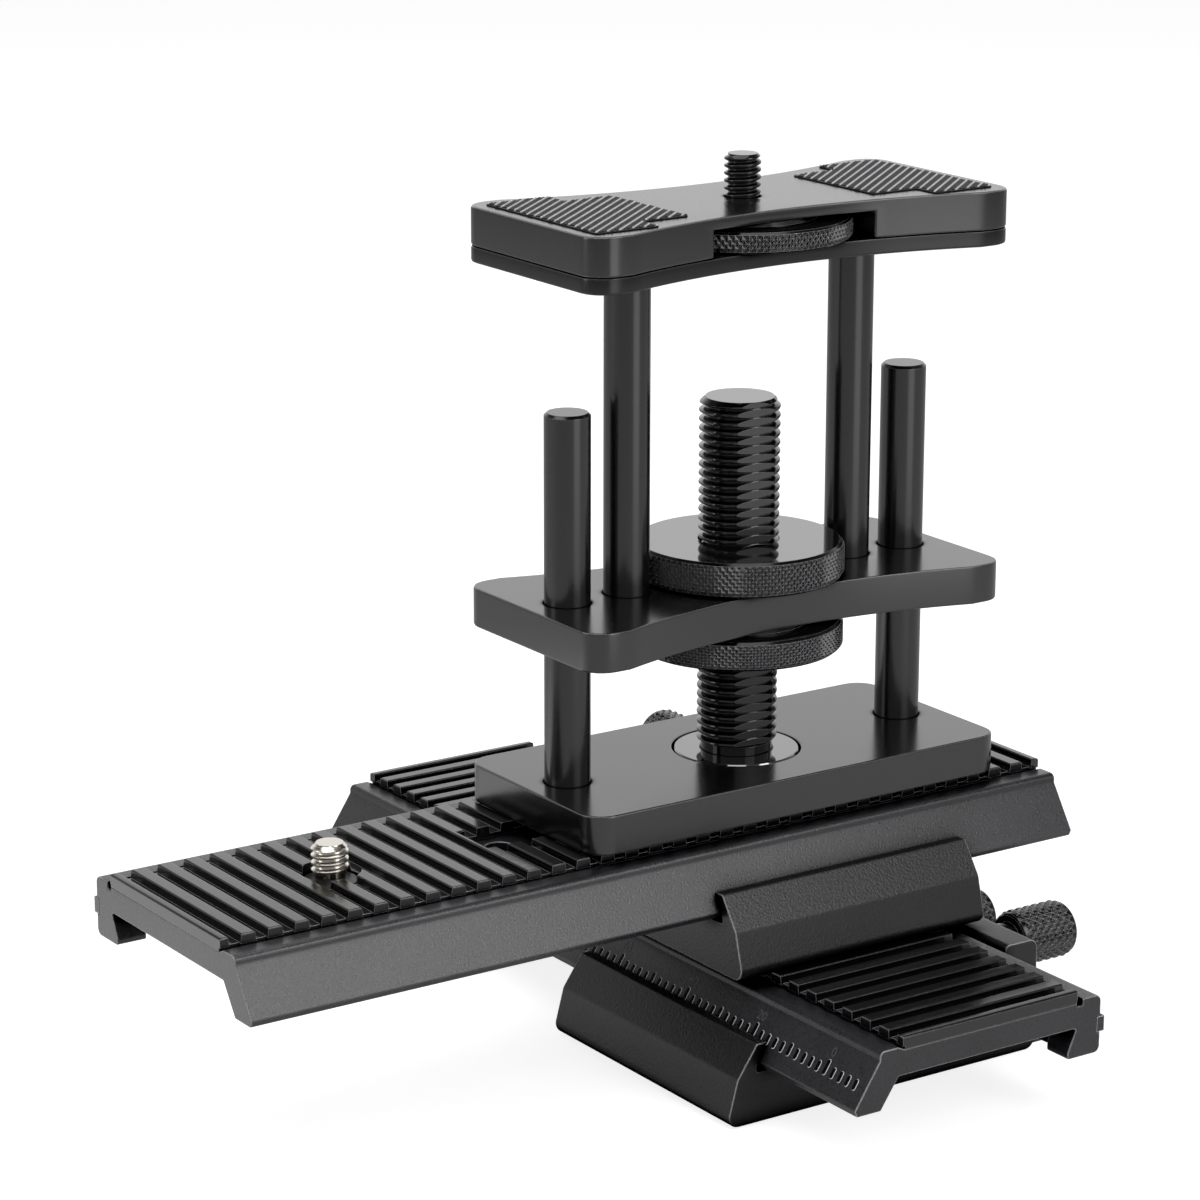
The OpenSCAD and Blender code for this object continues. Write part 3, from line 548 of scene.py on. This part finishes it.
def turned(name, profile, centre, steps=96):
    """A turned piece: its profile of (radius, height) is spun round an upright axis."""
    piece = mesh_piece(name, [(r, 0, z) for r, z in profile], [], centre)
    bm = bmesh.new()
    bm.from_mesh(piece.data)
    bm.verts.ensure_lookup_table()
    for a, b in zip(bm.verts[:-1], bm.verts[1:]):
        bm.edges.new((a, b))
    if profile[0][0] > 0:
        bm.edges.new((bm.verts[-1], bm.verts[0]))
    bmesh.ops.spin(bm, geom=bm.verts[:] + bm.edges[:], cent=Vector(centre) * MM, axis=(0, 0, 1),
                   angle=2 * math.pi, steps=steps, use_merge=True)
    bm.to_mesh(piece.data)
    bm.free()
    close(piece)
    return piece


def knurled(name, centre, axis, below, band, above, around, rows, depth, bore=False):
    """A turned piece with a diamond knurl: a net of grooves round the band, and a raised,
    flat-topped diamond in each of its openings. band is its radius, low end and high end, below
    and above are (radius, height) rings, and a bore joins the first ring to the last."""
    radius, low, high = band
    count = 2 * around
    levels = 2 * rows
    points, faces = [], []

    def ring(r, z):
        start = len(points)
        for i in range(count):
            a = math.pi * i / around
            points.append((r * math.cos(a), r * math.sin(a), z))
        return start

    def join_rings(a, b):
        for i in range(count):
            n = (i + 1) % count
            faces.append((a + i, a + n, b + n, b + i))

    lower = [ring(r, z) for r, z in below]
    net = [ring(radius - depth, low + (high - low) * j / levels) for j in range(levels + 1)]
    upper = [ring(r, z) for r, z in above]
    for order in (lower + [net[0]], [net[-1]] + upper):
        for a, b in zip(order[:-1], order[1:]):
            join_rings(a, b)
    if bore:
        join_rings(upper[-1], lower[0])
    else:
        faces.append(tuple(reversed([lower[0] + i for i in range(count)])))
        faces.append(tuple(upper[-1] + i for i in range(count)))
    diamonds = []
    for j in range(levels + 1):
        for i in range(count):
            if (i + j) % 2 == 0:
                continue
            left, right = net[j] + (i - 1) % count, net[j] + (i + 1) % count
            if j == 0:
                faces.append((left, net[j] + i, net[j + 1] + i))
                faces.append((net[j] + i, right, net[j + 1] + i))
            elif j == levels:
                faces.append((net[j] + i, left, net[j - 1] + i))
                faces.append((right, net[j] + i, net[j - 1] + i))
            else:
                diamonds.append(len(faces))
                faces.append((left, net[j - 1] + i, right, net[j + 1] + i))
    piece = mesh_piece(name, points, faces, centre, axis)
    edit(piece, "DESELECT")
    bpy.ops.mesh.select_mode(type="FACE")
    bpy.ops.object.mode_set(mode="OBJECT")
    for i in diamonds:
        piece.data.polygons[i].select = True
    bpy.ops.object.mode_set(mode="EDIT")
    across = math.pi * radius / around
    along = (high - low) / levels
    side = across * along / math.hypot(across, along)
    bpy.ops.mesh.inset(use_individual=True, thickness=side * (1 - DIAMOND_TOP) * MM,
                       depth=depth * MM)
    # a point of the net that a diamond spans is left over
    bpy.ops.mesh.select_all(action="SELECT")
    bpy.ops.mesh.delete_loose(use_verts=True, use_edges=True, use_faces=False)
    bpy.ops.mesh.select_all(action="SELECT")
    bpy.ops.mesh.normals_make_consistent(inside=False)
    bpy.ops.object.mode_set(mode="OBJECT")
    return piece


def threaded(name, centre, crest, depth, pitch, low, high, chamfer, steps=72):
    """A screwed rod: its profile climbs one pitch a turn, and is cut off flat at both ends."""
    turns = math.ceil((high - low) / pitch) + 2
    profile = []
    for k in range(turns):
        profile += [(crest - depth + depth * rise, low + pitch * (k - 1 + share))
                    for share, rise in THREAD]
    points = []
    for i in range(steps):
        a = 2 * math.pi * i / steps
        for r, z in profile:
            z = z + pitch * i / steps
            r = min(r, crest - chamfer + max(0.0, high - z))
            points.append((r * math.cos(a), r * math.sin(a), z))
    size = len(profile)
    rows = len(THREAD)
    faces = []
    for i in range(steps):
        for k in range(size - 1):
            here = i * size + k
            if i < steps - 1:
                faces.append((here, here + size, here + size + 1, here + 1))
            elif k + rows + 1 < size:
                faces.append((here, k + rows, k + rows + 1, here + 1))
    piece = mesh_piece(name, points, faces, centre)
    middle = Vector(centre)
    cut(piece, middle + Vector((0, 0, low)), (0, 0, -1))
    cut(piece, middle + Vector((0, 0, high)), (0, 0, 1))
    close(piece, THREAD_MERGE)
    return piece


# Knobs

# A knob's neck, grip and end, with height 0 at the near end of the grip
KNOB_NECK = [(3.3, -3.2), (3.3, 0), (4.45, 0), (4.75, 0.3)]
KNOB_BAND = (5.18, 0.6, 11.5)
KNOB_END = [(4.75, 11.8), (4.45, 12.1)]

# Degrees past which an edge of a knurled piece stays sharp
KNURL_SMOOTH = 20


def grip_knob(name, centre, axis, body, *replaced):
    """A knurled knob with a short neck."""
    piece = knurled(name, centre, axis, KNOB_NECK, KNOB_BAND, KNOB_END,
                    around=21, rows=6, depth=0.34)
    done(piece, body, KNURL, "knurled_black", *replaced, smooth=KNURL_SMOOTH)


grip_knob("lower_lock_grip", (36, -14.2, 15.7), "X", "lower_lock", "lower_lock_knob")
grip_knob("lower_drive_grip", (43.3, 16.9, 7.4), "X", "lower_drive", "lower_drive_knob")
grip_knob("upper_lock_grip", (14.2, 51.75, 37.7), "Y", "upper_lock", "upper_lock_knob")
grip_knob("upper_drive_grip", (-16.9, 59.05, 29.4), "Y", "upper_drive", "upper_drive_knob")


# Nuts and thumbwheel

# Radii of a nut's bore, boss, flat face and knurl, and how far its rims are broken
NUT_BORE = 7.15
NUT_BOSS = 13
NUT_FACE = 17.7
NUT_RADIUS = 18.5
NUT_BEVEL = 0.45

WHEEL_BELOW = [(2.8, 142.5), (18.3, 142.5)]
WHEEL_BAND = (19, 142.85, 145.75)
WHEEL_ABOVE = [(18.3, 146.1), (13, 146.1), (12.8, 146.8), (2.8, 146.8)]
KNURL_DEPTH = 0.28

# A face turned off square to the axis faces it by this cosine or more
SQUARE = 0.98


def face_off(piece, material):
    """Gives the turned flat faces of a piece their own finish."""
    piece.data.materials.append(material)
    for face in piece.data.polygons:
        if abs(face.normal.z) > SQUARE:
            face.material_index = 1


def lift_nut(name, low, high, boss_top, body, replaced):
    """A knurled nut, with a boss on top where that ends over the knurl."""
    above = [(NUT_FACE, high)]
    if boss_top > high:
        above += [(NUT_BOSS, high), (NUT_BOSS, boss_top)]
    above.append((NUT_BORE, boss_top))
    piece = knurled(name, (*RISER, 0), "Z", [(NUT_BORE, low), (NUT_FACE, low)],
                    (NUT_RADIUS, low + NUT_BEVEL, high - NUT_BEVEL), above,
                    around=96, rows=4, depth=KNURL_DEPTH, bore=True)
    done(piece, body, KNURL, "knurled_black", replaced, smooth=KNURL_SMOOTH)
    face_off(piece, DISC)


lift_nut("lower_lift_nut", 69.9, 75.0, 75.9, "nut_below", "lower_nut")
lift_nut("upper_lift_nut", 82.85, 89.0, 89.0, "nut_above", "upper_nut")
wheel = knurled("head_wheel_grip", (*RISER, 0), "Z", WHEEL_BELOW, WHEEL_BAND, WHEEL_ABOVE,
                around=100, rows=2, depth=KNURL_DEPTH, bore=True)
done(wheel, "head_wheel", KNURL, "knurled_black", "thumbwheel", smooth=KNURL_SMOOTH)
face_off(wheel, DISC)


# Screws

# A 1/4 inch camera screw's radius, and its pitch of 20 threads to the inch
CAMERA_SCREW = 3.175
CAMERA_PITCH = 1.27
CAMERA_STEPS = 48

LEAD_NECK = [(0, 44), (5, 44), (5, 47.7), (6.3, 47.7), (6.3, 52.5), (5.9, 52.9), (0, 52.9)]
HEAD_SHANK = [(0, 142.55), (2.8, 142.55), (2.8, 149.5), (0, 149.5)]
RAIL_SHANK = [(0, 33.8), (7.4, 33.8), (8, 34.4), (8, 37.2), (2.8, 37.2), (2.8, 44.3), (0, 44.3)]

# The flat along the front of the lead screw's thread: the way it faces, and how far out it lies
LEAD_FLAT_FACING = math.radians(-98)
LEAD_FLAT_OUT = 6.07

lead = threaded("lead_thread", (*RISER, 0), crest=7.1, depth=1.1, pitch=1.6, low=52.9, high=114.4,
                chamfer=1.1)
outward = Vector((math.cos(LEAD_FLAT_FACING), math.sin(LEAD_FLAT_FACING), 0))
cut(lead, Vector((*RISER, 0)) + LEAD_FLAT_OUT * outward, outward)
neck = turned("lead_neck", LEAD_NECK, (*RISER, 0))
lead = joined("lead_thread", lead, neck)
done(lead, "upper_slider", GLOSS, "gloss_black", "lead_screw")
face_off(lead, DISC)

head_thread = threaded("head_thread", (*RISER, 0), crest=CAMERA_SCREW, depth=0.72,
                       pitch=CAMERA_PITCH, low=149.5, high=156.6, chamfer=0.6,
                       steps=CAMERA_STEPS)
head_shank = turned("head_shank", HEAD_SHANK, (*RISER, 0))
head_screw = joined("head_camera_thread", head_thread, head_shank)
done(head_screw, "head_wheel", GLOSS, "gloss_black", "head_camera_screw")
face_off(head_screw, DISC)

rail_thread = threaded("rail_thread", (*STUD, 0), crest=CAMERA_SCREW, depth=0.62,
                       pitch=CAMERA_PITCH, low=44.3, high=48.95, chamfer=0.9,
                       steps=CAMERA_STEPS)
rail_shank = turned("rail_shank", RAIL_SHANK, (*STUD, 0))
rail_screw = joined("rail_camera_thread", rail_thread, rail_shank)
done(rail_screw, "rail_stud", BRIGHT, "bright_steel", "rail_camera_screw")


# Rods and posts

ROD_RADIUS = 4
ROD_OUT = 35.88
ROD_ENDS = (48.9, 116.0)
ROD_CHAMFER = 0.5
POST_OUT = 23.73
POST_ENDS = (80.8, 139.6)
POST_CHAMFER = 0.01


def rod_piece(name, x, ends, chamfer, body, replaced):
    low, high = ends
    profile = [(0, low), (ROD_RADIUS, low), (ROD_RADIUS, high - chamfer),
               (ROD_RADIUS - chamfer, high), (0, high)]
    rod = turned(name, profile, (RISER[0] + x, RISER[1], 0))
    done(rod, body, ROD, "satin_rod", replaced)


for side, word in SIDES:
    rod_piece("rod_" + word, side * ROD_OUT, ROD_ENDS, ROD_CHAMFER,
              "upper_slider", "guide_rod_" + word)
for side, word in SIDES:
    rod_piece("column_" + word, side * POST_OUT, POST_ENDS, POST_CHAMFER, "head", "post_" + word)


# Solids of the frame with their edges rounded

BLASTED_ROUND = 0.20
RIB_ROUND = 0.30
PLATE_ROUND = 0.35
HEAD_ROUND = 0.45

# Where the bush's bore cuts the pinion's pocket in each carriage
LOWER_POCKET = ((15, 12, 2), (28, 22, 12.5))
UPPER_POCKET = ((-22, 31, 24), (-12, 44, 34.5))

# Heights just under the tops of the pads' ribs
LOWER_RIBS = 21.95
UPPER_RIBS = 43.95

softened("lower_rail", "lower_slider", RAIL, "blasted_anodised", BLASTED_ROUND)
softened("upper_rail", "upper_slider", RAIL, "blasted_anodised", BLASTED_ROUND)
softened("lower_carriage", "base", CARRIAGE, "blasted_anodised", BLASTED_ROUND,
         clear_of(*LOWER_POCKET))
softened("upper_carriage", "lower_slider", CARRIAGE, "blasted_anodised", BLASTED_ROUND,
         clear_of(*UPPER_POCKET))
softened("lower_pad", "lower_slider", RIBS, "ribbed_rubber", RIB_ROUND,
         rib_tops(LOWER_RIBS, PAD_HOLE))
softened("upper_pad", "upper_slider", RIBS, "ribbed_rubber", RIB_ROUND,
         rib_tops(UPPER_RIBS, STUD))
softened("riser_base", "upper_slider", PLATE, "black_anodised", PLATE_ROUND)
softened("lift_plate", "head", PLATE, "black_anodised", PLATE_ROUND)
softened("bridge_plate", "head", BRIDGE, "black_anodised", HEAD_ROUND)
softened("head_plate", "head", PLATE, "black_anodised", HEAD_ROUND)

# The flange in the riser's base, with its rims broken
DISC_BORE = 6.3
DISC_RIM = 11.1
disc_low, disc_high = (corner[2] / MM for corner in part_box("screw_flange"))
disc = turned("flange_disc", [
    (DISC_BORE, disc_low), (DISC_RIM, disc_low), (DISC_RIM, disc_high - 0.25),
    (DISC_RIM - 0.2, disc_high), (DISC_BORE + 0.3, disc_high), (DISC_BORE, disc_high - 0.3)],
    (*RISER, 0), steps=128)
done(disc, "upper_slider", DISC, "gloss_black", "screw_flange")


# Scale on the lower rail

# Top of the flared face, the way it falls, and the way it faces
FLARE_TOP = Vector((-23.35, 0, 18.7))
FLARE_FALL = Vector((-5.05, 0, -7.7)).normalized()
FLARE_OUT = Vector((FLARE_FALL.z, 0, -FLARE_FALL.x))

# Ticks start here along Y, and all end this far down the face
TICKS = 51
TICK_STEP = 2
FIRST_TICK = -50.1
TICK_END = 6.25

# Half the length of a tick: each tenth one, the fifth ones between, and the others
TICK_TENTH = 1.45
TICK_FIFTH = 1.25
TICK_PLAIN = 1.05

# Outlines of a tick's rim and groove, as half its width and how much shorter it is
RIM_OUTLINES = [(0.44, 0.0), (0.28, 0.15)]
GROOVE_OUTLINES = [(0.36, 0.09)]
MARK_FOOT = -0.05
RIM_TOP = 0.03
GROOVE_TOP = 0.045
GROOVE_SHIFT = 0.09

NUMBERS = 5
NUMBER_STEP = 20
FIRST_NUMBER = -42.1
NUMBER_DOWN = 2.1
NUMBER_SIZE = 2.4
NUMBER_LIFT = 0.03


def on_flare(along, down, lift):
    """A point by the flared face, from its place along Y, its way down and its height over it."""
    return FLARE_TOP + FLARE_FALL * down + FLARE_OUT * lift + Vector((0, along, 0))


def capsule(half_width, half_length, steps=8):
    """A slot's outline: two straight sides with round ends."""
    points = []
    for k in range(2 * steps):
        side = 1 if k < steps else -1
        a = math.pi * (k % steps) / (steps - 1) + (0 if side > 0 else math.pi)
        x = half_width * math.cos(a)
        y = half_width * math.sin(a) + side * (half_length - half_width)
        points.append((x, y))
    return points


def scale_marks(name, material, outlines, top, shift=0.0):
    """Ticks along the flared face. Each is a ring between two outlines, painted as highlight, or a
    filled slot inside one, painted as shade. shift moves them along the face, so that a slot leaves
    the highlight of its rim showing on one side."""
    points, faces = [], []
    for k in range(TICKS):
        half = TICK_TENTH if k % 10 == 4 else TICK_FIFTH if k % 5 == 4 else TICK_PLAIN
        middle = (FIRST_TICK + TICK_STEP * k + shift, TICK_END - half)
        start = len(points)
        edges = [capsule(width, half - inset) for width, inset in outlines]
        count = len(edges[0])
        for edge in edges:
            for lift in (MARK_FOOT, top):
                points += [on_flare(middle[0] + x, middle[1] + y, lift) for x, y in edge]
        foot, rim, *inner = (start + i * count for i in range(2 * len(edges)))
        loops = [(foot, rim)]
        if inner:
            inner_foot, inner_rim = inner
            loops += [(rim, inner_rim), (inner_rim, inner_foot), (inner_foot, foot)]
        for i in range(count):
            n = (i + 1) % count
            faces += [(a + i, a + n, b + n, b + i) for a, b in loops]
        if not inner:
            faces += [tuple(loop + i for i in range(count)) for loop in (foot, rim)]
    piece = mesh_piece(name, points, faces)
    edit(piece)
    bpy.ops.mesh.normals_make_consistent(inside=False)
    bpy.ops.object.mode_set(mode="OBJECT")
    done(piece, "lower_slider", material, "blasted_anodised")


def scale_number(text, along):
    """A raised plain number on the flared face, read from the rail's side."""
    bpy.ops.object.select_all(action="DESELECT")
    bpy.ops.object.text_add(location=(0, 0, 0))
    label = bpy.context.object
    label.name = "scale_number_" + text
    label.data.body = text
    label.data.size = NUMBER_SIZE * MM
    label.data.align_x = "CENTER"
    label.data.align_y = "CENTER"
    label.data.extrude = NUMBER_LIFT * MM
    bpy.ops.object.convert(target="MESH")
    reading = Vector((0, -1, 0))
    place = on_flare(along, NUMBER_DOWN, 0.0) * MM
    label.data.transform(placed(reading, -FLARE_FALL, FLARE_OUT, place))
    close(label)
    done(label, "lower_slider", FAINT, "blasted_anodised")


scale_marks("scale_rim_highlights", RIM_HIGHLIGHT, RIM_OUTLINES, RIM_TOP)
scale_marks("scale_groove_shade", GROOVE_SHADE, GROOVE_OUTLINES, GROOVE_TOP, GROOVE_SHIFT)
for tenth in range(NUMBERS):
    scale_number(str(NUMBER_STEP * tenth), FIRST_NUMBER + NUMBER_STEP * tenth)


# Grip pads on the head

# The sheets' points over the first height are brought to the second
SHEET_OVER = 149.40
SHEET_TOP = 149.42

# The moulded lines run at this angle, this far apart, with a grain every step along them
GRIP_LINE = math.radians(40)
GRIP_PITCH = 1.55
GRIP_STEP = 0.8
ROWS_OUT = 40
STEPS_OUT = 60

# A pad's two widths, from the head's middle: near end, far end and half width
PAD_WIDE = (28.7, 41.4, 16.7)
PAD_NARROW = (19.2, 28.7, 11.5)
PAD_MARGIN = 0.3

# Rows of grains and of bright ridges, painted pale as highlights, as shares of the way from one
# line to the next, the blocks' half widths across and along a line, and their tops
GRAIN_ROWS = (0.38, 0.72)
GRAIN_SIZE = (0.24, 0.28)
GRAIN_TOP = 149.60
GLINT_ROWS = (0.05,)
GLINT_SIZE = (0.16, 0.20)
GLINT_TOP = 149.64
BLOCK_FOOT = 149.40
BLOCK_TAPER = 0.62
BLOCK_CORNERS = ((-1, -1), (1, -1), (1, 1), (-1, 1))
BLOCK_FACES = ((3, 2, 1, 0), (4, 5, 6, 7), (0, 1, 5, 4), (1, 2, 6, 5), (2, 3, 7, 6), (3, 0, 4, 7))


def on_pad(x, y, margin):
    """Whether a place on the head lies on a pad, at least a margin from its edge."""
    for near, far, half in (PAD_WIDE, PAD_NARROW):
        shut = near == PAD_NARROW[0] or abs(y) > PAD_NARROW[2] - margin
        inner = near + margin if shut else near - margin
        if inner < abs(x) < far - margin and abs(y) < half - margin:
            return True
    return abs(abs(x) - PAD_WIDE[0]) <= margin and abs(y) < PAD_NARROW[2] - margin


def studs(name, side, rows, size, top, material):
    """Rows of small raised blocks along the pad's slanted lines, each second row half a step
    further along."""
    along = Vector((math.cos(GRIP_LINE), math.sin(GRIP_LINE)))
    across = Vector((-along.y, along.x))
    points, faces = [], []
    for line in range(-ROWS_OUT, ROWS_OUT):
        for number, share in enumerate(rows):
            for step in range(-STEPS_OUT, STEPS_OUT):
                middle = (across * GRIP_PITCH * (line + share)
                          + along * GRIP_STEP * (step + 0.5 * number))
                if middle.x * side < 0 or not on_pad(middle.x, middle.y, PAD_MARGIN):
                    continue
                start = len(points)
                for grow, height in ((1.0, BLOCK_FOOT), (BLOCK_TAPER, top)):
                    for a, b in BLOCK_CORNERS:
                        place = middle + across * a * size[0] * grow + along * b * size[1] * grow
                        points.append((place.x, place.y, height))
                faces += [tuple(start + i for i in face) for face in BLOCK_FACES]
    piece = mesh_piece(name, points, faces, (*RISER, 0))
    close(piece)
    done(piece, "head", material, "grip_mesh")


def pad_sheet(name, replaced):
    """The pad's thin sheet, lowered to leave room for what is moulded on it."""
    sheet = copied(name, replaced)
    for point in sheet.data.vertices:
        if point.co.z > SHEET_OVER * MM:
            point.co.z = SHEET_TOP * MM
    close(sheet)
    done(sheet, "head", GRIP, "grip_mesh", replaced)


for side, word in SIDES:
    pad_sheet("grip_sheet_" + word, "grip_pad_" + word)
    studs("grip_grains_" + word, side, GRAIN_ROWS, GRAIN_SIZE, GRAIN_TOP, GRIP)
    studs("grip_glints_" + word, side, GLINT_ROWS, GLINT_SIZE, GLINT_TOP, GLINT)


# Carried-over solids of the frame

paint(RAIL, "lower_brake_strip", "upper_brake_strip")
paint(BORE, "lower_rack", "upper_rack", "lower_pinion", "upper_pinion", "lower_lock_screw",
      "upper_lock_screw", "coupling_screw", "riser_screw", "rod_screws", "post_foot_screws",
      "head_plate_screws", "screw_clip")
paint(BRONZE, "lower_bush", "upper_bush")

camera_at(place=(-406.61, -535.74, 267.02), azimuth=-34.185, elevation=15.493, roll=0.094,
          lens=121.415)
studio_world()
studio_floor()
softbox("overhead", place=(-0.1, 0.1, 1.0), aim=(0, 0, 0.08), width=1.2, height=1.0, watts=7.0)
softbox("front_high", place=(0.30, -0.66, 0.64), aim=(-0.08, 0, 0.03), width=0.40, height=0.45,
        watts=2.2)
softbox("front_low", place=(0.055, -0.34, 0.12), aim=(0.0, 0.01, 0.10), width=0.20, height=0.24,
        watts=0.14)
softbox("left", place=(-0.9, 0.3, 0.35), aim=(-0.1, 0, 0.05), width=0.3, height=0.6, watts=1.0)
bpy.context.scene.view_settings.view_transform = "Standard"
